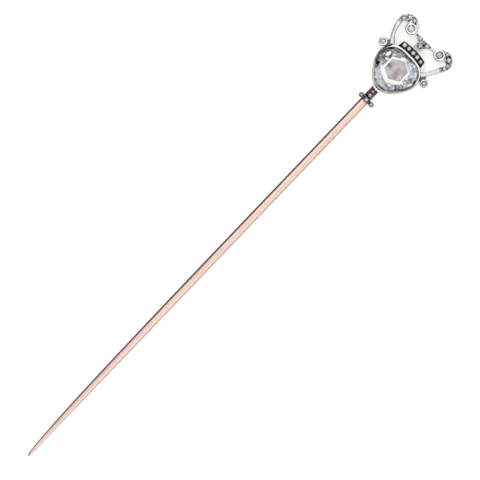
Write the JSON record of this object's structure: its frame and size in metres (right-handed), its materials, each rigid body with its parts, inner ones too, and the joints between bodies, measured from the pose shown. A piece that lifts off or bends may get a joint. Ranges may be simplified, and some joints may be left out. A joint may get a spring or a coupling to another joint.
{
  "type": "hat pin",
  "caption": "Long tapered gold hat pin whose head is a silver two-handled urn set with a large rose-cut stone and small stones.",
  "frame": {"origin": "point on the flat back of the head, on the stem's centre line, level with the middle of the large stone", "axes": "+Y up the stem towards the top of the head, +Z out of the front of the head, +X to the right of the head as seen from the front; the pin lies on its back"},
  "size_m": [0.0123, 0.1, 0.0033],
  "materials": {
    "rose_gold": "polished rose gold stem",
    "backing_gold": "gold backing, softly worn",
    "silver": "worn bright silver",
    "dark_silver": "oxidised silver, bright on its high points",
    "foil": "bright foil behind the large stone",
    "diamond": "rose-cut faceted stone"
  },
  "bodies": {
    "root": {"back_plate": "backing_gold", "bowl_collet": "silver", "bowl_stone": "diamond", "crest_backing": "backing_gold", "crest_plate": "silver", "crest_stone_1": "diamond", "crest_stone_2": "diamond", "crest_stone_3": "diamond", "crest_stone_4": "diamond", "foil_liner": "foil", "foot_backing": "backing_gold", "foot_bar": "dark_silver", "foot_collar": "silver", "foot_stone_1": "diamond", "foot_stone_2": "diamond", "foot_stone_3": "diamond", "left_knop_collet": "silver", "left_knop_stone": "diamond", "left_ring_collet": "silver", "left_ring_stone": "diamond", "left_scroll": "silver", "left_scroll_backing": "backing_gold", "left_scroll_stone_1": "diamond", "left_scroll_stone_2": "diamond", "left_scroll_stone_3": "diamond", "left_scroll_stone_4": "diamond", "left_shoulder": "dark_silver", "left_wire": "silver", "lip_backing": "backing_gold", "lip_bar": "dark_silver", "lip_stone_1": "diamond", "lip_stone_2": "diamond", "lip_stone_3": "diamond", "lip_stone_4": "diamond", "lip_stone_5": "diamond", "neck_plate": "dark_silver", "neck_stone_1": "diamond", "neck_stone_2": "diamond", "right_knop_collet": "silver", "right_knop_stone": "diamond", "right_ring_collet": "silver", "right_ring_stone": "diamond", "right_scroll": "silver", "right_scroll_backing": "backing_gold", "right_scroll_stone_1": "diamond", "right_scroll_stone_2": "diamond", "right_scroll_stone_3": "diamond", "right_scroll_stone_4": "diamond", "right_scroll_stone_5": "diamond", "right_shoulder": "dark_silver", "right_wire": "silver", "stem": "rose_gold"}
  },
  "joints": []
}
